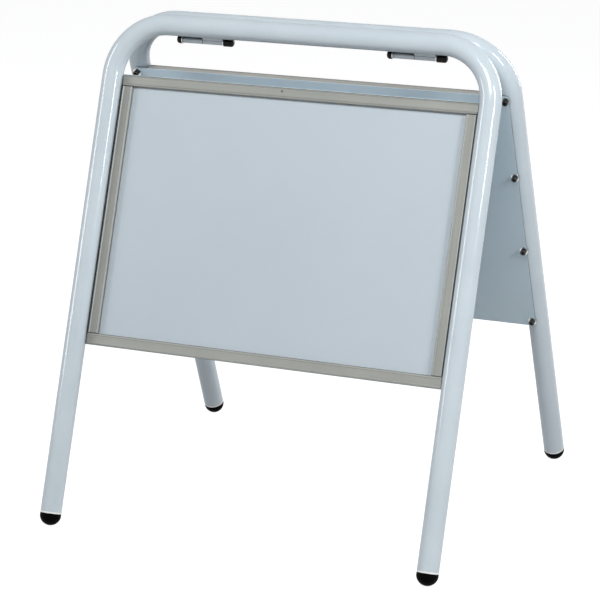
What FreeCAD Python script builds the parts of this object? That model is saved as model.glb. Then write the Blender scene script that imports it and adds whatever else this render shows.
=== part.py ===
import FreeCAD, Part
import math
import os

V = FreeCAD.Vector
os.makedirs("parts", exist_ok=True)

# Driving sizes in mm. X is the width, Y the depth with the front at minus Y, Z is up, origin on the ground.
TUBE_D = 35.0
TUBE_WALL = 1.5
BEND_RADIUS = 90.0
LEAN = 20.8
LEG_LENGTH = 823.0
BAR_GAP = 0.3
LEG_CLEAR = 2.5

# Hinge between the two top bars.
HINGE_FROM_BEND = 55.0
HINGE_DROP = 26.0
BARREL_D = 11.0
KNUCKLE_LENGTH = 36.0
LEAF_THICK = 6.0
BOLT_D = 6.0
HEX_FLATS = 10.0
HEAD_HEIGHT = 4.0
NUT_HEIGHT = 6.0
BOLT_TAIL = 2.0
HINGE_WASHER_D = 14.0
HINGE_WASHER_THICK = 1.6
CAP_WALL = 1.3
CAP_WALL_END = 2.4
CAP_ROUND = 4.5
HEAD_CAP_EXTRA = 3.0
NUT_CAP_EXTRA = 6.0
RUN_FIT = 0.05
SIDE_GAP = 0.3
KNUCKLE_GAP = 0.9

# Poster frame.
POSTER_W = 594.0
POSTER_H = 420.0
POSTER_HIDDEN = 3.5
RAIL_W = 18.5
FRAME_TOP = 88.0
BOARD_THICK = 6.0
POSTER_THICK = 0.4
STACK_GAP = 0.1
CLEAR_THICK = 1.0
RAIL_FLOOR = 1.5
RAIL_WALL = 1.6
WALL_HEIGHT = 8.0
WALL_STEP = 1.2
STOP_WALL = 1.2
STOP_PLAY = 0.8
PIVOT_U = 1.8
PIVOT_V = 11.0
BEAD_R = 1.3
NECK = 1.4
COVER_HEIGHT = 15.0
SKIN = 1.2
CREST_OUT = 1.6
CREST_IN = 3.0
CREST_FALL = 0.9
ROLL_OUT = 2.0
ROLL_IN = 1.4
LIP_ROUND = 2.2
HOOK_OPEN_FROM = 135.0
HOOK_OPEN_TO = 310.0
LIP_GAP = 0.4
END_PLAY = 0.5
TAPE_THICK = 3.0
TAPE_MARGIN = 3.0
TAPE_END = 4.0
TOOL_HOLE_D = 3.0
TOOL_HOLE_X = -24.0
TOOL_HOLE_U = 6.5

# Springs and corner keys in the base rails.
SPRING_LENGTH = 24.0
SPRING_THICK = 0.6
SPRING_FROM_END = 110.0
SPRING_HEEL = 3.2
SPRING_TOE = 11.6
SPRING_TIP = 12.0
SPRING_TIP_FLAT = 3.0
SPRING_BEND = 1.4
KEY_LEG = 45.0
KEY_WIDTH = 8.0
KEY_THICK = 2.6
KEY_PLAY = 0.8

# Backing sheet and its fasteners.
SHEET_THICK = 1.5
SHEET_ABOVE = 3.0
SHEET_BELOW = 1.0
SHEET_SIDE = 1.0
SCREW_D = 6.0
SCREW_HOLE_D = 6.6
SCREW_IN = 3.0
SCREW_FROM_TOP = 8.0
SCREW_FROM_BOTTOM = 10.0
SCREWS_PER_LEG = 4
HEAD_D = 10.0
HEAD_THICK = 6.0
HEAD_ROUND = 0.8
SOCKET_FLATS = 5.0
SOCKET_DEPTH = 3.0
WASHER_D = 14.0
WASHER_THICK = 1.6
NUT_FLANGE_D = 13.0
NUT_FLANGE = 1.0
NUT_SHANK_D = 9.0
NUT_LENGTH = 12.0
SCREW_SHORT = 2.0

# Rubber feet.
FOOT_COLLAR = 5.0
FOOT_DOME = 15.0
FOOT_FLAT = 0.6
STEM_LENGTH = 30.0
STEM_FLUTE = 1.2
STEM_RIBS = 4

# Derived sizes.
R = TUBE_D / 2
BORE = R - TUBE_WALL
OPEN_W = POSTER_W - 2 * POSTER_HIDDEN
OPEN_H = POSTER_H - 2 * POSTER_HIDDEN
FRAME_W = OPEN_W + 2 * RAIL_W
FRAME_H = OPEN_H + 2 * RAIL_W
SIDE_RAIL = OPEN_H
FRAME_CENTRE = FRAME_TOP + FRAME_H / 2
LEG_X = FRAME_W / 2 + LEG_CLEAR + R
HINGE_X = LEG_X - BEND_RADIUS - HINGE_FROM_BEND
SHEET_TOP = FRAME_TOP - SHEET_ABOVE
SHEET_BOTTOM = FRAME_TOP + FRAME_H + SHEET_BELOW
SHEET_OUT = R + NUT_FLANGE
RAIL_BACK = SHEET_OUT - TAPE_THICK
POSTER_EDGE = RAIL_W - POSTER_HIDDEN
STOP_IN = POSTER_EDGE - STOP_PLAY
STOP_OUT = STOP_IN - STOP_WALL
CLEAR_V = RAIL_FLOOR + BOARD_THICK + POSTER_THICK + STACK_GAP
STACK_TOP = CLEAR_V + CLEAR_THICK
LIP_V = STACK_TOP + LIP_GAP
LIP_REACH = RAIL_W - PIVOT_U
END_GAP = math.hypot(LIP_REACH, PIVOT_V - LIP_V) - LIP_REACH + END_PLAY
CAP_D = 2 * (HEX_FLATS / math.sqrt(3) + CAP_WALL)
DOME_R = (FOOT_DOME ** 2 + R ** 2) / (2 * FOOT_DOME)
DOME_S = LEG_LENGTH + FOOT_COLLAR + FOOT_DOME - DOME_R
BAR_Y = R + BAR_GAP / 2
BAR_Z = DOME_R - FOOT_FLAT + DOME_S * math.cos(math.radians(LEAN))
HINGE_Z = BAR_Z - HINGE_DROP
OVER = 1.0


def box(x0, x1, y0, y1, z0, z1):
    return Part.makeBox(x1 - x0, y1 - y0, z1 - z0, V(x0, y0, z0))


def rod(radius, start, way, length):
    return Part.makeCylinder(radius, length, V(*start), V(*way))


def hex_rod(flats, start, way, length):
    """Six-sided prism along X or Y from the start point."""
    reach = flats / math.sqrt(3)
    points = []
    for k in range(7):
        a = math.radians(60 * k)
        if way[0]:
            points.append(V(start[0], start[1] + reach * math.cos(a), start[2] + reach * math.sin(a)))
        else:
            points.append(V(start[0] + reach * math.cos(a), start[1], start[2] + reach * math.sin(a)))
    face = Part.Face(Part.makePolygon(points))
    return face.extrude(V(way[0] * length, way[1] * length, way[2] * length))


def placed(shape, rear):
    """Leans a shape built upright at the bar centre and sets it on its side of the stand."""
    out = shape.copy()
    out.rotate(V(0, 0, 0), V(1, 0, 0), -LEAN)
    out.translate(V(0, -BAR_Y, BAR_Z))
    if rear:
        out.rotate(V(0, 0, 0), V(0, 0, 1), 180)
    return out


def save(name, shape):
    shape.exportStep("parts/" + name + ".step")


def pair(name, shape):
    """Writes the front piece and the same piece turned round for the rear."""
    save("front_" + name, placed(shape, False))
    save("rear_" + name, placed(shape, True))


def group(shapes):
    return Part.makeCompound(shapes)


# Upright build frame: origin at the middle of the top bar, legs down minus Z, front towards minus Y.
def screw_heights():
    first = SHEET_TOP + SCREW_FROM_TOP
    last = SHEET_BOTTOM - SCREW_FROM_BOTTOM
    step = (last - first) / (SCREWS_PER_LEG - 1)
    return [-(first + step * k) for k in range(SCREWS_PER_LEG)]


def screw_points():
    side = LEG_X - SCREW_IN
    return [(x, z) for x in (-side, side) for z in screw_heights()]


def hoop():
    turn = LEG_X - BEND_RADIUS
    drop = -BEND_RADIUS
    diagonal = BEND_RADIUS * math.sqrt(0.5)
    path = Part.Wire([
        Part.makeLine(V(-LEG_X, 0, -LEG_LENGTH), V(-LEG_X, 0, drop)),
        Part.Arc(V(-LEG_X, 0, drop), V(-turn - diagonal, 0, drop + diagonal), V(-turn, 0, 0)).toShape(),
        Part.makeLine(V(-turn, 0, 0), V(turn, 0, 0)),
        Part.Arc(V(turn, 0, 0), V(turn + diagonal, 0, drop + diagonal), V(LEG_X, 0, drop)).toShape(),
        Part.makeLine(V(LEG_X, 0, drop), V(LEG_X, 0, -LEG_LENGTH)),
    ])
    start = V(-LEG_X, 0, -LEG_LENGTH)
    solids = []
    for radius in (R, BORE):
        ring = Part.Wire(Part.makeCircle(radius, start, V(0, 0, 1)))
        solids.append(path.makePipeShell([ring], True, True))
    tube = solids[0].cut(solids[1])
    holes = [rod(NUT_SHANK_D / 2, (x, 0, z), (0, 1, 0), R + OVER) for x, z in screw_points()]
    return tube.cut(holes).Solids[0]


def sheet():
    half = LEG_X + SHEET_SIDE
    plate = box(-half, half, SHEET_OUT, SHEET_OUT + SHEET_THICK, -SHEET_BOTTOM, -SHEET_TOP)
    start = SHEET_OUT - OVER
    deep = SHEET_THICK + 2 * OVER
    return plate.cut([rod(SCREW_HOLE_D / 2, (x, start, z), (0, 1, 0), deep) for x, z in screw_points()])


def rivet_nut(x, z):
    flange = rod(NUT_FLANGE_D / 2, (x, R, z), (0, 1, 0), NUT_FLANGE)
    shank = rod(NUT_SHANK_D / 2, (x, R - NUT_LENGTH, z), (0, 1, 0), NUT_LENGTH)
    leg_x = math.copysign(LEG_X, x)
    wall = rod(R, (leg_x, 0, z - NUT_FLANGE_D), (0, 0, 1), 2 * NUT_FLANGE_D)
    flange = flange.cut(wall)
    thread = rod(SCREW_D / 2, (x, R - NUT_LENGTH, z), (0, 1, 0), NUT_LENGTH + NUT_FLANGE)
    return flange.fuse(shank).cut(thread).removeSplitter().Solids[0]


def washer(x, z):
    y = SHEET_OUT + SHEET_THICK
    ring = rod(WASHER_D / 2, (x, y, z), (0, 1, 0), WASHER_THICK)
    return ring.cut(rod(SCREW_HOLE_D / 2, (x, y, z), (0, 1, 0), WASHER_THICK))


def screw(x, z):
    y = SHEET_OUT + SHEET_THICK + WASHER_THICK
    head = rod(HEAD_D / 2, (x, y, z), (0, 1, 0), HEAD_THICK)
    rim = [e for e in head.Edges if e.BoundBox.YMin > y + HEAD_THICK / 2 and len(e.Vertexes) == 1]
    head = head.makeFillet(HEAD_ROUND, rim)
    socket_floor = y + HEAD_THICK - SOCKET_DEPTH
    head = head.cut(hex_rod(SOCKET_FLATS, (x, socket_floor, z), (0, 1, 0), SOCKET_DEPTH + OVER))
    shank_end = R - NUT_LENGTH + SCREW_SHORT
    shank = rod(SCREW_D / 2, (x, shank_end, z), (0, 1, 0), y - shank_end)
    return head.fuse(shank).removeSplitter().Solids[0]


def foot(x):
    z = -LEG_LENGTH
    rim = z - FOOT_COLLAR
    tip = rim - FOOT_DOME
    half = math.atan2(R, DOME_R - FOOT_DOME) / 2
    middle = V(DOME_R * math.sin(half), 0, -DOME_S - DOME_R * math.cos(half))
    curve = Part.Arc(V(0, 0, tip), middle, V(R, 0, rim)).toShape()
    sides = Part.makePolygon([V(R, 0, rim), V(R, 0, z), V(0, 0, z), V(0, 0, tip)])
    dome = Part.Face(Part.Wire([curve] + sides.Edges)).revolve(V(0, 0, 0), V(0, 0, 1), 360)
    dome.translate(V(x, 0, 0))
    stem = rod(BORE - STEM_FLUTE, (x, 0, z), (0, 0, 1), STEM_LENGTH)
    pitch = STEM_LENGTH / (STEM_RIBS + 0.5)
    ribs = [rod(BORE, (x, 0, z + pitch * (k + 0.25)), (0, 0, 1), pitch / 2) for k in range(STEM_RIBS)]
    return dome.fuse([stem] + ribs).removeSplitter().Solids[0]


def flat_foot(x, rear):
    """Foot set in place, with the small bearing flat worn level with the ground."""
    block = placed(foot(x), rear)
    room = block.BoundBox
    ground = box(room.XMin - OVER, room.XMax + OVER, room.YMin - OVER, room.YMax + OVER, room.ZMin - OVER, 0)
    return block.cut(ground).Solids[0]


def rail_face(points):
    """Closed profile from (u, v) pairs; u runs in from the outer edge, v forward from the rail's back."""
    corners = [V(0, -v, -u) for u, v in points]
    return Part.Face(Part.makePolygon(corners + corners[:1]))


def rail_slab(u0, u1, v0, v1):
    return rail_face([(u0, v0), (u1, v0), (u1, v1), (u0, v1)])


def ring_face(radius):
    return Part.Face(Part.Wire(Part.makeCircle(radius, V(0, -PIVOT_V, -PIVOT_U), V(1, 0, 0))))


def rail_bar(face, length):
    bar = face.extrude(V(length, 0, 0))
    bar.translate(V(-length / 2, 0, 0))
    return bar


def base_rail(length, wall_back, stop_back):
    """Rail with a floor of full length; its outer wall and the poster stop end short of it at both ends."""
    step_v = WALL_HEIGHT - WALL_STEP
    neck_in = PIVOT_U + NECK / 2
    floor = rail_slab(0, RAIL_W, 0, RAIL_FLOOR)
    wall = rail_slab(0, RAIL_WALL, 0, WALL_HEIGHT)
    step = rail_slab(0, neck_in, step_v, WALL_HEIGHT)
    neck = rail_slab(PIVOT_U - NECK / 2, neck_in, step_v, PIVOT_V)
    stop = rail_slab(STOP_OUT, STOP_IN, 0, STACK_TOP)
    uprights = [rail_bar(f, length - 2 * wall_back) for f in (wall, step, neck, ring_face(BEAD_R))]
    uprights.append(rail_bar(stop, length - 2 * stop_back))
    return rail_bar(floor, length).fuse(uprights).removeSplitter().Solids[0]


def cover(length, hole):
    top = COVER_HEIGHT
    dish = top - CREST_FALL
    crest_in = RAIL_W - CREST_IN
    socket_r = BEAD_R + RUN_FIT
    hook_r = socket_r + SKIN
    outer_edge = [(PIVOT_U - hook_r / 2, PIVOT_V + hook_r / 2), (PIVOT_U - socket_r, PIVOT_V + hook_r)]
    crests = [(CREST_OUT, top), (CREST_OUT + ROLL_OUT, dish), (crest_in - ROLL_IN, dish), (crest_in, top)]
    lip = [(RAIL_W - LIP_ROUND / 2, top - LIP_ROUND / 4), (RAIL_W, top - LIP_ROUND), (RAIL_W, LIP_V)]
    inside = [(RAIL_W - SKIN, LIP_V), (RAIL_W - SKIN, dish - LIP_ROUND), (RAIL_W - LIP_ROUND, dish - SKIN),
              (PIVOT_U + hook_r / 2, dish - SKIN)]
    skin = rail_face(outer_edge + crests + lip + inside)
    hook = ring_face(hook_r)
    reach = 2 * hook_r
    throat = [(PIVOT_U, PIVOT_V)]
    for degrees in (HOOK_OPEN_FROM, 180, 270, HOOK_OPEN_TO):
        a = math.radians(degrees)
        throat.append((PIVOT_U + reach * math.cos(a), PIVOT_V + reach * math.sin(a)))
    hook_bar = rail_bar(hook, length).cut(rail_bar(rail_face(throat), length))
    bar = rail_bar(skin, length).fuse(hook_bar).cut(rail_bar(ring_face(socket_r), length))
    if hole:
        start = (TOOL_HOLE_X, -top - OVER, -TOOL_HOLE_U)
        bar = bar.cut(rod(TOOL_HOLE_D / 2, start, (0, 1, 0), CREST_FALL + SKIN + 2 * OVER))
    return bar.removeSplitter().Solids[0]


def spring(x):
    """Bent strip that stands on the rail floor and reaches up under the cover."""
    t = SPRING_THICK
    tip = COVER_HEIGHT - CREST_FALL - SKIN - LIP_GAP
    flat = SPRING_TIP - SPRING_TIP_FLAT
    base = [(SPRING_HEEL, RAIL_FLOOR), (SPRING_TOE, RAIL_FLOOR), (SPRING_TOE, RAIL_FLOOR + t)]
    bend = [(SPRING_HEEL + SPRING_BEND, RAIL_FLOOR + t), (flat + t, tip - t)]
    end = [(SPRING_TIP, tip - t), (SPRING_TIP, tip), (flat, tip), (SPRING_HEEL, RAIL_FLOOR + SPRING_BEND)]
    piece = rail_face(base + bend + end).extrude(V(SPRING_LENGTH, 0, 0))
    piece.translate(V(x - SPRING_LENGTH / 2, 0, 0))
    return piece


def on_side(shape, turn):
    """Moves a piece built along the top rail to a side of the frame, turned about the frame's middle."""
    out = shape.copy()
    reach = FRAME_H / 2 if turn in (0, 180) else FRAME_W / 2
    out.translate(V(0, RAIL_BACK, reach))
    out.rotate(V(0, 0, 0), V(0, 1, 0), turn)
    out.translate(V(0, 0, -FRAME_CENTRE))
    return out


# The top and bottom rails run through; the side rails stand between them.
SIDES = (("top", 0, FRAME_W), ("right", 90, SIDE_RAIL), ("bottom", 180, FRAME_W), ("left", 270, SIDE_RAIL))


def corner_keys():
    keys = []
    inset = RAIL_WALL + KEY_PLAY
    back = RAIL_BACK - RAIL_FLOOR
    for sx in (-1, 1):
        for sz in (-1, 1):
            x = sx * (FRAME_W / 2 - inset)
            z = sz * (FRAME_H / 2 - inset)
            across = box(min(x, x - sx * KEY_LEG), max(x, x - sx * KEY_LEG), back - KEY_THICK, back,
                         min(z, z - sz * KEY_WIDTH), max(z, z - sz * KEY_WIDTH))
            along = box(min(x, x - sx * KEY_WIDTH), max(x, x - sx * KEY_WIDTH), back - KEY_THICK, back,
                        min(z, z - sz * KEY_LEG), max(z, z - sz * KEY_LEG))
            key = across.fuse(along).removeSplitter().Solids[0]
            key.translate(V(0, 0, -FRAME_CENTRE))
            keys.append(key)
    return keys


def tape_strips():
    strips = []
    for name, turn, length in SIDES:
        reach = length / 2 - TAPE_END
        strips.append(on_side(box(-reach, reach, 0, TAPE_THICK, TAPE_MARGIN - RAIL_W, -TAPE_MARGIN), turn))
    return strips


def stack_sheet(floor, thick):
    """One of the flat sheets in the poster frame."""
    y = RAIL_BACK - floor
    half = POSTER_H / 2
    return box(-POSTER_W / 2, POSTER_W / 2, y - thick, y, -FRAME_CENTRE - half, -FRAME_CENTRE + half)


pair("hoop", hoop())
pair("backing_sheet", sheet())
pair("rivet_nuts", group([rivet_nut(x, z) for x, z in screw_points()]))
pair("sheet_washers", group([washer(x, z) for x, z in screw_points()]))
pair("sheet_screws", group([screw(x, z) for x, z in screw_points()]))
for rear, face in ((False, "front"), (True, "rear")):
    save(face + "_foot_left", flat_foot(-LEG_X, rear))
    save(face + "_foot_right", flat_foot(LEG_X, rear))
for side, turn, length in SIDES:
    through = side in ("top", "bottom")
    wall_back = 0 if through else END_GAP
    stop_back = STOP_OUT if through else END_GAP
    pair("base_rail_" + side, on_side(base_rail(length, wall_back, stop_back), turn))
    pair("snap_cover_" + side, on_side(cover(length - 2 * wall_back, side == "top"), turn))
springs = []
for side, turn, length in SIDES:
    place = length / 2 - SPRING_FROM_END
    for x in (-place, place):
        springs.append(on_side(spring(x), turn))
pair("snap_springs", group(springs))
pair("corner_keys", group(corner_keys()))
pair("tape_strips", group(tape_strips()))
pair("poster_board", stack_sheet(RAIL_FLOOR, BOARD_THICK))
pair("poster", stack_sheet(RAIL_FLOOR + BOARD_THICK, POSTER_THICK))
pair("clear_cover", stack_sheet(CLEAR_V, CLEAR_THICK))


def knuckle(x0, side, bore):
    """Barrel from x0 with the leaf that is welded up to one bar; side is minus one for the front bar."""
    barrel = rod(BARREL_D / 2, (x0, 0, HINGE_Z), (1, 0, 0), KNUCKLE_LENGTH)
    reach = math.hypot(BAR_Y, HINGE_DROP)
    leaf = box(x0, x0 + KNUCKLE_LENGTH, -LEAF_THICK / 2, LEAF_THICK / 2, 0, reach)
    leaf.rotate(V(0, 0, 0), V(1, 0, 0), -side * math.degrees(math.atan2(BAR_Y, HINGE_DROP)))
    leaf.translate(V(0, 0, HINGE_Z))
    start = x0 - OVER
    long = KNUCKLE_LENGTH + 2 * OVER
    bar = rod(R, (start, side * BAR_Y, BAR_Z), (1, 0, 0), long)
    hole = rod(bore, (start, 0, HINGE_Z), (1, 0, 0), long)
    return barrel.fuse(leaf).cut([bar, hole]).removeSplitter().Solids[0]


def cap(x0, way, length, hex_depth):
    """Push-on cap with a rounded end; its pocket opens at x0."""
    body = rod(CAP_D / 2, (x0, 0, HINGE_Z), (way, 0, 0), length)
    end = x0 + way * length
    rim = [e for e in body.Edges if abs(e.BoundBox.Center.x - end) < CAP_ROUND and len(e.Vertexes) == 1]
    body = body.makeFillet(CAP_ROUND, rim)
    body = body.cut(hex_rod(HEX_FLATS, (x0, 0, HINGE_Z), (way, 0, 0), hex_depth))
    return body.cut(rod(BOLT_D / 2, (x0, 0, HINGE_Z), (way, 0, 0), hex_depth + BOLT_TAIL))


nuts = []
washers = []
head_caps = []
nut_caps = []
for side, middle in (("left", -HINGE_X), ("right", HINGE_X)):
    left_end = middle - KNUCKLE_GAP / 2 - KNUCKLE_LENGTH
    right_end = middle + KNUCKLE_GAP / 2 + KNUCKLE_LENGTH
    save("hinge_" + side + "_front_knuckle", knuckle(right_end - KNUCKLE_LENGTH, -1, BOLT_D / 2))
    save("hinge_" + side + "_rear_knuckle", knuckle(left_end, 1, BOLT_D / 2 + RUN_FIT))
    seat = left_end - SIDE_GAP
    head = seat - HINGE_WASHER_THICK
    nut = right_end + HINGE_WASHER_THICK
    tail = nut + NUT_HEIGHT + BOLT_TAIL
    bolt = rod(BOLT_D / 2, (head, 0, HINGE_Z), (1, 0, 0), tail - head)
    bolt = bolt.fuse(hex_rod(HEX_FLATS, (head - HEAD_HEIGHT, 0, HINGE_Z), (1, 0, 0), HEAD_HEIGHT))
    save("hinge_" + side + "_bolt", bolt.removeSplitter().Solids[0])
    blank = hex_rod(HEX_FLATS, (nut, 0, HINGE_Z), (1, 0, 0), NUT_HEIGHT)
    nuts.append(blank.cut(rod(BOLT_D / 2, (nut, 0, HINGE_Z), (1, 0, 0), NUT_HEIGHT)))
    for x in (head, right_end):
        ring = rod(HINGE_WASHER_D / 2, (x, 0, HINGE_Z), (1, 0, 0), HINGE_WASHER_THICK)
        washers.append(ring.cut(rod(BOLT_D / 2, (x, 0, HINGE_Z), (1, 0, 0), HINGE_WASHER_THICK)))
    head_caps.append(cap(head, -1, HEAD_HEIGHT + CAP_WALL_END + HEAD_CAP_EXTRA, HEAD_HEIGHT))
    nut_caps.append(cap(nut, 1, NUT_HEIGHT + BOLT_TAIL + CAP_WALL_END + NUT_CAP_EXTRA, NUT_HEIGHT))
save("hinge_nuts", group(nuts))
save("hinge_washers", group(washers))
save("hinge_head_caps", group(head_caps))
save("hinge_nut_caps", group(nut_caps))
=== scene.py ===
import math

import bpy
from mathutils import Matrix, Vector

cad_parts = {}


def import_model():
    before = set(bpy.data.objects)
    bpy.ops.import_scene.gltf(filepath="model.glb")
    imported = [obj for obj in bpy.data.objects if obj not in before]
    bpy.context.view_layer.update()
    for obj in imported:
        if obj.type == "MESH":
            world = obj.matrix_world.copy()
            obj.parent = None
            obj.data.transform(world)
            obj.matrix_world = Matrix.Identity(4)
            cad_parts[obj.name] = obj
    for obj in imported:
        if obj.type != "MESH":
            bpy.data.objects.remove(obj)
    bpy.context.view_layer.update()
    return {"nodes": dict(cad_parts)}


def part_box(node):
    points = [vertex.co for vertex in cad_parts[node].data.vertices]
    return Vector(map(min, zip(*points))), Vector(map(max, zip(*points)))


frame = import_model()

# Sizes of the stand, in metres and radians
LEAN = math.radians(20.8)
TUBE_RADIUS = 0.0175
TUBE_END = 0.823
TUBE_RIM = 0.0030
RIM_BLEND = 0.0003
SCUFF_REACH = 0.16
DUST_HEIGHT = 0.004
BAR_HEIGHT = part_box("front_hoop")[1].z - TUBE_RADIUS
BAR_OUT = TUBE_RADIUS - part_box("front_hoop")[1].y

# Camera of the photograph, in metres and radians
CAMERA_PLACE = Vector((1.61457, -3.67981, 1.51605))
CAMERA_AZIMUTH = math.radians(23.917)
CAMERA_TILT = math.radians(16.34)
CAMERA_ROLL = math.radians(-0.459)
CAMERA_LENS_MM = 150.604
CAMERA_SENSOR_MM = 36.0

# Floor, backdrop and the point that the lamps face
FLOOR_SIDE = 60.0
FLOOR_DROP = 0.0003
FLOOR_BOUNCE = (0.38, 0.38, 0.38)
FLOOR_SHADE = (0.36, 0.36, 0.36)
FLOOR_GLOW = 0.90
WHITE = (1.0, 1.0, 1.0)
AMBIENT_COLOUR = (0.95, 0.98, 1.0)
AMBIENT_STRENGTH = 0.17
LAMP_TARGET = Vector((0.0, 0.0, 0.45))

# Colours in linear light, a pair being the pale and the deep end of one finish
HOOP_PAINT = ((0.63, 0.71, 0.765), (0.585, 0.665, 0.72))
# The hinge knuckles wear the hoops' paint; this copy is paler, a painted lightening against the shade under
# the bars
KNUCKLE_PAINT_LIFTED = ((0.76, 0.85, 0.91), (0.69, 0.78, 0.85))
PAINT_SCUFF = (0.36, 0.38, 0.40)
# Lighter edge colour: partly wear, partly a painted highlight along the edges
PAINT_EDGE_WEAR_AND_HIGHLIGHT = (0.72, 0.74, 0.76)
# Painted shade: the near-black the paint turns to deep in gaps between pieces, and how much of it is mixed
# in
PAINT_GAP_SHADE = (0.05, 0.06, 0.07)
GAP_SHADE_SHARE = 0.9
# Painted highlight: the near-white band at the cut ends of the tubes
RIM_HIGHLIGHT = (0.96, 0.96, 0.95)
SHEET_PAINT = ((0.58, 0.69, 0.76), (0.53, 0.645, 0.72))
SHEET_EDGE_WEAR_AND_HIGHLIGHT = (0.72, 0.73, 0.74)
CHAMPAGNE = ((0.28, 0.288, 0.272), (0.235, 0.242, 0.228))
PLAIN_METAL = ((0.45, 0.45, 0.43), (0.385, 0.385, 0.365))
# Pale crest colour of the rails: partly rubbed metal, partly a painted highlight
RAIL_EDGE_RUB_AND_HIGHLIGHT = (0.46, 0.464, 0.434)
PAPER = ((0.56, 0.635, 0.69), (0.53, 0.605, 0.665))
PAPER_FIBRE = (0.70, 0.72, 0.74)
BOARD = ((0.78, 0.78, 0.77), (0.70, 0.71, 0.70))
CLEAR_HAZE = (0.70, 0.74, 0.79)
RUBBER = ((0.003, 0.003, 0.003), (0.001, 0.001, 0.001))
RUBBER_DUST = (0.03, 0.029, 0.027)
ZINC = ((0.66, 0.66, 0.63), (0.52, 0.55, 0.58))
# Painted highlight: the paler colour along zinc edges
ZINC_EDGE_HIGHLIGHT = (0.80, 0.80, 0.79)
DARK_STEEL = ((0.011, 0.011, 0.012), (0.004, 0.004, 0.005))
# Painted highlight: the lighter colour along the screws' edges
DARK_STEEL_EDGE_HIGHLIGHT = (0.07, 0.07, 0.07)
BLACK_PLASTIC = ((0.004, 0.004, 0.004), (0.001, 0.001, 0.001))
FOAM = ((0.74, 0.74, 0.72), (0.62, 0.62, 0.60))
SPRING_STEEL = ((0.42, 0.43, 0.45), (0.30, 0.31, 0.33))

# Where most values of a noise texture lie, and how far a rounded normal turns along an edge
NOISE_RANGE = (0.3, 0.7)
EDGE_TURN = (0.02, 0.25)
BEVEL_SAMPLES = 6
GAP_SAMPLES = 8

# Colour sockets of a Mix node
MIX_FIRST, MIX_SECOND, MIX_RESULT = 6, 7, 2

nodes = frame["nodes"]
scene = bpy.context.scene


# Node helpers
def opaque(colour):
    """A plain colour with full alpha; the output of a node stays as it is."""
    return (*colour, 1.0) if isinstance(colour, tuple) else colour


class Finish:
    """One procedural material: a Principled shader and short calls that add the nodes behind it."""

    def __init__(self, name):
        self.material = bpy.data.materials.new(name)
        self.material.use_nodes = True
        self.tree = self.material.node_tree
        self.shader = self.tree.nodes["Principled BSDF"]

    def feed(self, value, socket):
        """Link a node's output to the socket, or set the socket to a plain value."""
        if isinstance(value, bpy.types.NodeSocket):
            self.tree.links.new(value, socket)
        else:
            socket.default_value = value

    def add(self, kind, inputs=None, **settings):
        node = self.tree.nodes.new(kind)
        for key, value in settings.items():
            setattr(node, key, value)
        for key, value in (inputs or {}).items():
            self.feed(value, node.inputs[key])
        return node

    def set(self, **values):
        """Feed the shader's own sockets, with underscores for the spaces in their names."""
        for key, value in values.items():
            self.feed(value, self.shader.inputs[key.replace("_", " ")])

    def place(self):
        return self.add("ShaderNodeTexCoord").outputs["Object"]

    def turned(self, lean, scale):
        """The place on the piece, turned with a leaning face and scaled on each axis."""
        mapping = self.add("ShaderNodeMapping", {"Vector": self.place(), "Rotation": (lean, 0.0, 0.0)})
        inputs = {0: mapping.outputs[0], 1: scale}
        return self.add("ShaderNodeVectorMath", inputs, operation="MULTIPLY").outputs[0]

    def noise(self, where, scale, detail=3.0, roughness=0.5):
        inputs = {"Vector": where, "Scale": scale, "Detail": detail, "Roughness": roughness}
        return self.add("ShaderNodeTexNoise", inputs).outputs["Fac"]

    def span(self, value, given, wanted=(0.0, 1.0)):
        """The value, carried from the given range to the wanted one and held at its ends."""
        inputs = {"Value": value, "From Min": given[0], "From Max": given[1]}
        inputs.update({"To Min": wanted[0], "To Max": wanted[1]})
        return self.add("ShaderNodeMapRange", inputs).outputs["Result"]

    def math(self, operation, first, second=0.0):
        return self.add("ShaderNodeMath", {0: first, 1: second}, operation=operation).outputs[0]

    def mixed(self, share, first, second):
        """The first colour where the share is 0, the second where it is 1."""
        inputs = {"Factor": share, MIX_FIRST: opaque(first), MIX_SECOND: opaque(second)}
        return self.add("ShaderNodeMix", inputs, data_type="RGBA").outputs[MIX_RESULT]

    def soft_edge(self, radius):
        return self.add("ShaderNodeBevel", {"Radius": radius}, samples=BEVEL_SAMPLES).outputs[0]

    def edges(self, radius):
        """A mask that is 1 along edges, from the angle between the rounded and the true normal."""
        inputs = {0: self.soft_edge(radius), 1: self.add("ShaderNodeNewGeometry").outputs["Normal"]}
        match = self.add("ShaderNodeVectorMath", inputs, operation="DOT_PRODUCT").outputs["Value"]
        return self.span(self.math("SUBTRACT", 1.0, match), EDGE_TURN)

    def bump(self, height, strength, distance, normal=None):
        inputs = {"Height": height, "Strength": strength, "Distance": distance}
        if normal is not None:
            inputs["Normal"] = normal
        return self.add("ShaderNodeBump", inputs).outputs["Normal"]

    def facing(self):
        """0 where the surface faces the eye, 1 where it turns away."""
        return self.add("ShaderNodeLayerWeight").outputs["Facing"]

    def gap_shade_mask(self, distance, openness):
        """A mask that is 1 deep in gaps between pieces and 0 in the open, used to paint shade into the
        gaps.
        """
        gap = self.add("ShaderNodeAmbientOcclusion", {"Distance": distance}, samples=GAP_SAMPLES)
        return self.span(gap.outputs["AO"], openness, (1.0, 0.0))

    def down_leg(self, where):
        """Distance from the bar's centre line down the slope of either pair of legs."""
        axes = self.add("ShaderNodeSeparateXYZ", {"Vector": where}).outputs
        out = self.math("SUBTRACT", self.math("ABSOLUTE", axes["Y"]), BAR_OUT)
        down = self.math("SUBTRACT", BAR_HEIGHT, axes["Z"])
        return self.math("ADD", self.math("MULTIPLY", out, math.sin(LEAN)),
                         self.math("MULTIPLY", down, math.cos(LEAN)))


def dress(finish, names):
    for name in names:
        for slot in nodes[name].material_slots:
            slot.material = finish.material


def both(*names):
    return [f"{side}_{name}" for side in ("front", "rear") for name in names]


def drawn_out(axis, along, across):
    """A texture scale for lines that run along the x or the z axis."""
    return (along, across, across) if axis == "x" else (across, across, along)


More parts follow.
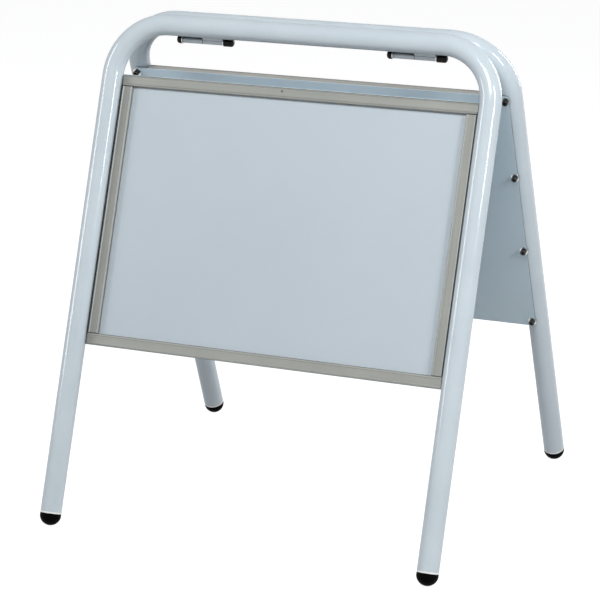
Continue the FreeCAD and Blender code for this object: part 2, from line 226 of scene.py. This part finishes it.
# Materials
def painted(name, paint, gap_reach, gap_openness, parts):
    """Powder coat: orange peel, clouding, scuffs near the feet, worn edges with a painted highlight,
    painted shade in gaps, a painted highlight at the tube ends.
    """
    coat = Finish(name)
    pale, deep = paint
    where = coat.place()
    run = coat.down_leg(where)
    cloud = coat.noise(where, scale=9.0, detail=4.0, roughness=0.6)
    colour = coat.mixed(coat.span(cloud, (0.35, 0.7)), deep, pale)
    low = coat.span(run, (TUBE_END - SCUFF_REACH, TUBE_END))
    speckle = coat.noise(where, scale=240.0, detail=6.0, roughness=0.75)
    scuff = coat.math("MULTIPLY", low, coat.span(speckle, (0.60, 0.70), (0.0, 0.35)))
    colour = coat.mixed(scuff, colour, PAINT_SCUFF)
    # Lighter edges in patches: partly wear, partly a painted highlight along the rounded edges
    edge_patches = coat.span(coat.noise(where, scale=180.0), (0.4, 0.6), (0.0, 0.5))
    worn_lit_edge = coat.math("MULTIPLY", coat.edges(radius=0.0008), edge_patches)
    colour = coat.mixed(worn_lit_edge, colour, PAINT_EDGE_WEAR_AND_HIGHLIGHT)
    # Painted shade: the paint darkens to near-black deep in the gaps between pieces, where shade falls
    gap_shade = coat.math("MULTIPLY", coat.gap_shade_mask(gap_reach, gap_openness), GAP_SHADE_SHARE)
    colour = coat.mixed(gap_shade, colour, PAINT_GAP_SHADE)
    # Painted highlight: a near-white band at the tube ends stands in for light caught by their edge
    rim_start = TUBE_END - TUBE_RIM
    rim_highlight = coat.span(run, (rim_start, rim_start + RIM_BLEND))
    coat.set(Base_Color=coat.mixed(rim_highlight, colour, RIM_HIGHLIGHT))
    coat.set(Specular_IOR_Level=coat.span(coat.facing(), (0.30, 0.75), (0.5, 0.02)))
    coat.set(Roughness=coat.span(coat.noise(where, scale=60.0), NOISE_RANGE, (0.09, 0.15)))
    peel = coat.noise(where, scale=520.0, detail=2.0, roughness=0.4)
    rounded = coat.soft_edge(radius=0.0006)
    coat.set(Normal=coat.bump(peel, strength=0.10, distance=0.0004, normal=rounded))
    dress(coat, parts)


def white_paint():
    knuckles = [name for name in nodes if name.endswith("_knuckle")]
    painted("white_powder_coat", HOOP_PAINT, gap_reach=0.012, gap_openness=(0.3, 0.8), parts=both("hoop"))
    # Painted light: the knuckles get a paler copy of the hoop paint to make up for the shade under the bars
    painted("hinge_powder_coat", KNUCKLE_PAINT_LIFTED, gap_reach=0.016, gap_openness=(0.42, 0.72), parts=knuckles)


def sheet_paint():
    """Blue-grey satin paint on the pressed steel backing sheets, its edges lighter from wear and a painted
    highlight.
    """
    coat = Finish("sheet_satin_paint")
    pale, deep = SHEET_PAINT
    where = coat.place()
    cloud = coat.noise(where, scale=6.0, detail=5.0, roughness=0.6)
    colour = coat.mixed(coat.span(cloud, NOISE_RANGE), deep, pale)
    # Lighter edges in patches: partly wear, partly a painted highlight along the rounded edges
    edge_patches = coat.span(coat.noise(where, scale=150.0), (0.4, 0.6), (0.1, 0.7))
    worn_lit_edge = coat.math("MULTIPLY", coat.edges(radius=0.0006), edge_patches)
    coat.set(Base_Color=coat.mixed(worn_lit_edge, colour, SHEET_EDGE_WEAR_AND_HIGHLIGHT))
    coat.set(Roughness=coat.span(coat.noise(where, scale=40.0, detail=4.0), NOISE_RANGE, (0.34, 0.46)))
    peel = coat.noise(where, scale=700.0, detail=2.0)
    rounded = coat.soft_edge(radius=0.0004)
    coat.set(Normal=coat.bump(peel, strength=0.12, distance=0.0003, normal=rounded))
    dress(coat, both("backing_sheet"))


def anodised(name, metal, lean, axis, parts):
    """Anodised extrusion: die lines and brushing along the length, rubbed edges with a painted highlight on
    the crests.
    """
    alloy = Finish(name)
    pale, deep = metal
    where = alloy.place()
    brushed = alloy.turned(lean, drawn_out(axis, along=3.0, across=900.0))
    grain = alloy.noise(brushed, scale=1.0, roughness=0.6)
    die_drawn = alloy.turned(lean, drawn_out(axis, along=1.5, across=160.0))
    line = alloy.noise(die_drawn, scale=1.0, detail=2.0)
    stain = alloy.noise(where, scale=14.0, detail=4.0, roughness=0.6)
    streak = alloy.span(line, NOISE_RANGE, (0.0, 0.6))
    tone = alloy.math("ADD", streak, alloy.span(stain, (0.35, 0.65), (0.0, 0.4)))
    # Paler crests and edges: partly rubbing, mostly a painted highlight along the crest lines
    edge_patches = alloy.span(alloy.noise(where, scale=120.0), (0.35, 0.6), (0.7, 1.0))
    worn_lit_edge = alloy.math("MULTIPLY", alloy.edges(radius=0.0010), edge_patches)
    alloy.set(Base_Color=alloy.mixed(worn_lit_edge, alloy.mixed(tone, deep, pale), RAIL_EDGE_RUB_AND_HIGHLIGHT), Metallic=1.0)
    alloy.set(Roughness=alloy.span(grain, NOISE_RANGE, (0.50, 0.60)))
    rounded = alloy.soft_edge(radius=0.0005)
    alloy.set(Normal=alloy.bump(grain, strength=0.02, distance=0.0002, normal=rounded))
    dress(alloy, parts)


def rails():
    for side, lean in (("front", LEAN), ("rear", -LEAN)):
        for axis, ends in (("x", ("top", "bottom")), ("z", ("left", "right"))):
            covers = [f"{side}_snap_cover_{end}" for end in ends]
            bases = [f"{side}_base_rail_{end}" for end in ends]
            anodised(f"champagne_anodised_{side}_{axis}", CHAMPAGNE, lean, axis, covers)
            anodised(f"plain_anodised_{side}_{axis}", PLAIN_METAL, lean, axis, bases)


def poster_paper():
    """Blank pale paper with faint fibre and tone."""
    paper = Finish("poster_paper")
    pale, deep = PAPER
    where = paper.place()
    cloud = paper.noise(where, scale=3.0, detail=5.0, roughness=0.6)
    colour = paper.mixed(paper.span(cloud, NOISE_RANGE), deep, pale)
    fibre = paper.noise(where, scale=900.0, detail=4.0, roughness=0.7)
    paper.set(Base_Color=paper.mixed(paper.span(fibre, (0.4, 0.6), (0.0, 0.06)), colour, PAPER_FIBRE))
    paper.set(Roughness=paper.span(fibre, NOISE_RANGE, (0.60, 0.75)))
    paper.set(Normal=paper.bump(fibre, strength=0.05, distance=0.0001))
    dress(paper, both("poster"))


def white_board():
    """Foam-core board behind the poster."""
    board = Finish("white_board")
    pale, deep = BOARD
    fibre = board.noise(board.place(), scale=500.0, detail=4.0, roughness=0.7)
    board.set(Base_Color=board.mixed(fibre, deep, pale))
    board.set(Roughness=board.span(fibre, NOISE_RANGE, (0.6, 0.8)))
    board.set(Normal=board.bump(fibre, strength=0.1, distance=0.0002))
    dress(board, both("poster_board"))


def clear_sheet():
    """Anti-glare clear sheet over the poster: a thin haze and a satin gloss."""
    film = Finish("clear_sheet")
    grain = film.noise(film.place(), scale=1400.0, detail=2.0)
    film.set(Base_Color=opaque(CLEAR_HAZE), Alpha=0.03, IOR=1.49)
    film.set(Roughness=film.span(grain, NOISE_RANGE, (0.22, 0.34)))
    film.set(Normal=film.bump(grain, strength=0.05, distance=0.0001))
    dress(film, both("clear_cover"))


def black_rubber():
    """Moulded black feet, dusty where they meet the ground."""
    rubber = Finish("black_rubber")
    pale, deep = RUBBER
    where = rubber.place()
    height = rubber.add("ShaderNodeSeparateXYZ", {"Vector": where}).outputs["Z"]
    near_ground = rubber.span(height, (0.0, DUST_HEIGHT), (0.5, 0.0))
    dust = rubber.math("MULTIPLY", near_ground, rubber.noise(where, scale=260.0, detail=5.0, roughness=0.7))
    mottled = rubber.mixed(rubber.noise(where, scale=120.0, detail=4.0), deep, pale)
    rubber.set(Base_Color=rubber.mixed(dust, mottled, RUBBER_DUST), Specular_IOR_Level=0.02)
    rubber.set(Roughness=rubber.span(rubber.noise(where, scale=300.0), NOISE_RANGE, (0.42, 0.6)))
    rubber.set(Normal=rubber.bump(rubber.noise(where, scale=1200.0), strength=0.2, distance=0.0003))
    dress(rubber, both("foot_left", "foot_right"))


def zinc_plate():
    """Bright zinc plate: bluish clouding, fine scratches, edges paled as a painted highlight."""
    zinc = Finish("zinc_plate")
    pale, deep = ZINC
    cloud = zinc.noise(zinc.place(), scale=160.0, detail=4.0, roughness=0.6)
    colour = zinc.mixed(zinc.span(cloud, NOISE_RANGE), deep, pale)
    # Painted highlight: every rounded edge is paled
    zinc.set(Base_Color=zinc.mixed(zinc.edges(radius=0.0004), colour, ZINC_EDGE_HIGHLIGHT), Metallic=1.0)
    scratch = zinc.noise(zinc.turned(0.0, (2600.0, 300.0, 2600.0)), scale=1.0, roughness=0.6)
    zinc.set(Roughness=zinc.span(scratch, NOISE_RANGE, (0.18, 0.34)))
    rounded = zinc.soft_edge(radius=0.0003)
    zinc.set(Normal=zinc.bump(scratch, strength=0.08, distance=0.0002, normal=rounded))
    fasteners = both("sheet_washers", "rivet_nuts", "corner_keys")
    dress(zinc, fasteners + ["hinge_nuts", "hinge_washers", "hinge_left_bolt", "hinge_right_bolt"])


def dark_steel():
    """Oiled dark steel of the cap screws."""
    steel = Finish("dark_steel")
    pale, deep = DARK_STEEL
    where = steel.place()
    tone = steel.noise(where, scale=300.0, detail=4.0)
    # Painted highlight: the rounded edges are lightened
    colour = steel.mixed(steel.edges(radius=0.0004), steel.mixed(tone, deep, pale), DARK_STEEL_EDGE_HIGHLIGHT)
    steel.set(Base_Color=colour, Specular_IOR_Level=0.5)
    steel.set(Roughness=steel.span(steel.noise(where, scale=700.0), NOISE_RANGE, (0.07, 0.13)))
    rounded = steel.soft_edge(radius=0.0003)
    steel.set(Normal=steel.bump(tone, strength=0.06, distance=0.0002, normal=rounded))
    dress(steel, both("sheet_screws"))


def black_plastic():
    """Glossy black caps on the hinge bolts."""
    plastic = Finish("black_plastic")
    pale, deep = BLACK_PLASTIC
    where = plastic.place()
    colour = plastic.mixed(plastic.noise(where, scale=200.0, detail=4.0), deep, pale)
    plastic.set(Base_Color=colour, Specular_IOR_Level=0.15)
    plastic.set(Roughness=plastic.span(plastic.noise(where, scale=500.0), NOISE_RANGE, (0.06, 0.11)))
    plastic.set(Normal=plastic.bump(plastic.noise(where, scale=1500.0), strength=0.12, distance=0.0002))
    dress(plastic, ["hinge_head_caps", "hinge_nut_caps"])


def foam_tape():
    """Foam tape between the sheet and the poster frame."""
    tape = Finish("foam_tape")
    pale, deep = FOAM
    cell = tape.noise(tape.place(), scale=1500.0, detail=4.0, roughness=0.7)
    tape.set(Base_Color=tape.mixed(cell, deep, pale))
    tape.set(Roughness=tape.span(cell, NOISE_RANGE, (0.75, 0.95)))
    tape.set(Normal=tape.bump(cell, strength=0.3, distance=0.0003))
    dress(tape, both("tape_strips"))


def spring_steel():
    """Rolled steel of the springs under the snap covers."""
    spring = Finish("spring_steel")
    pale, deep = SPRING_STEEL
    rolled = spring.noise(spring.turned(0.0, drawn_out("x", along=20.0, across=900.0)), scale=1.0)
    spring.set(Base_Color=spring.mixed(rolled, deep, pale), Metallic=1.0)
    spring.set(Roughness=spring.span(rolled, NOISE_RANGE, (0.25, 0.4)))
    spring.set(Normal=spring.bump(rolled, strength=0.05, distance=0.0002))
    dress(spring, both("snap_springs"))


# Stage
def shown_rays(tree):
    """1 for rays that see the backdrop as it shows, 0 for rays that only carry light."""
    path = tree.nodes.new("ShaderNodeLightPath")
    total = path.outputs["Is Camera Ray"]
    for name in ("Is Glossy Ray", "Is Transmission Ray"):
        larger = tree.nodes.new("ShaderNodeMath")
        larger.operation = "MAXIMUM"
        tree.links.new(total, larger.inputs[0])
        tree.links.new(path.outputs[name], larger.inputs[1])
        total = larger.outputs[0]
    return total


def floor():
    """White floor: it glows where it is seen, keeps the shadow and bounces less light than it shows."""
    mesh = bpy.data.meshes.new("floor")
    half = FLOOR_SIDE / 2
    outline = ((-half, -half), (half, -half), (half, half), (-half, half))
    corners = [(x, y, -FLOOR_DROP) for x, y in outline]
    mesh.from_pydata(corners, [], [(0, 1, 2, 3)])
    plane = bpy.data.objects.new("floor", mesh)
    scene.collection.objects.link(plane)
    paint = Finish("floor_white")
    tree = paint.tree
    tree.nodes.remove(paint.shader)
    bounce = paint.add("ShaderNodeBsdfDiffuse", {"Color": opaque(FLOOR_BOUNCE)})
    shade = paint.add("ShaderNodeBsdfDiffuse", {"Color": opaque(FLOOR_SHADE)})
    glow = paint.add("ShaderNodeEmission", {"Color": opaque(WHITE), "Strength": FLOOR_GLOW})
    shown = paint.add("ShaderNodeAddShader", {0: shade.outputs[0], 1: glow.outputs[0]})
    choices = {0: shown_rays(tree), 1: bounce.outputs[0], 2: shown.outputs[0]}
    choice = paint.add("ShaderNodeMixShader", choices)
    tree.links.new(choice.outputs[0], tree.nodes["Material Output"].inputs["Surface"])
    mesh.materials.append(paint.material)


def world():
    """White backdrop for the eye, gloss and glass; dimmer light for the rest."""
    studio = bpy.data.worlds.new("studio")
    scene.world = studio
    studio.use_nodes = True
    tree = studio.node_tree
    ambient = tree.nodes["Background"]
    ambient.inputs["Color"].default_value = opaque(AMBIENT_COLOUR)
    ambient.inputs["Strength"].default_value = AMBIENT_STRENGTH
    backdrop = tree.nodes.new("ShaderNodeBackground")
    backdrop.inputs["Color"].default_value = opaque(WHITE)
    choice = tree.nodes.new("ShaderNodeMixShader")
    tree.links.new(shown_rays(tree), choice.inputs[0])
    tree.links.new(ambient.outputs[0], choice.inputs[1])
    tree.links.new(backdrop.outputs[0], choice.inputs[2])
    tree.links.new(choice.outputs[0], tree.nodes["World Output"].inputs["Surface"])


def lamp(name, place, size, power):
    """A rectangular soft lamp that faces the stand; place and size in metres, power in watts."""
    light = bpy.data.lights.new(name, "AREA")
    light.shape = "RECTANGLE"
    light.size, light.size_y = size
    light.energy = power
    holder = bpy.data.objects.new(name, light)
    holder.location = place
    holder.rotation_euler = (LAMP_TARGET - Vector(place)).to_track_quat("-Z", "Y").to_euler()
    scene.collection.objects.link(holder)


def lamps():
    lamp("key_right", place=(2.6, -1.1, 1.85), size=(0.4, 1.3), power=40.0)
    lamp("fill_left", place=(-2.81, -1.46, 1.5), size=(0.8, 1.6), power=33.0)
    lamp("top", place=(0.75, -1.9, 2.45), size=(1.2, 0.8), power=34.0)
    lamp("rim_right", place=(1.3, 2.4, 1.2), size=(0.25, 1.6), power=36.0)


def camera():
    lens = bpy.data.cameras.new("camera")
    lens.lens = CAMERA_LENS_MM
    lens.sensor_width = CAMERA_SENSOR_MM
    ahead = Vector((
        -math.sin(CAMERA_AZIMUTH) * math.cos(CAMERA_TILT),
        math.cos(CAMERA_AZIMUTH) * math.cos(CAMERA_TILT),
        -math.sin(CAMERA_TILT),
    ))
    level = Vector((math.cos(CAMERA_AZIMUTH), math.sin(CAMERA_AZIMUTH), 0.0))
    upright = level.cross(ahead)
    right = math.cos(CAMERA_ROLL) * level + math.sin(CAMERA_ROLL) * upright
    up = math.cos(CAMERA_ROLL) * upright - math.sin(CAMERA_ROLL) * level
    turn = Matrix((right, up, -ahead)).transposed()
    view = bpy.data.objects.new("camera", lens)
    view.matrix_world = Matrix.Translation(CAMERA_PLACE) @ turn.to_4x4()
    scene.collection.objects.link(view)
    scene.camera = view


white_paint()
sheet_paint()
rails()
poster_paper()
white_board()
clear_sheet()
black_rubber()
zinc_plate()
dark_steel()
black_plastic()
foam_tape()
spring_steel()
floor()
world()
lamps()
camera()
scene.view_settings.view_transform = "Standard"
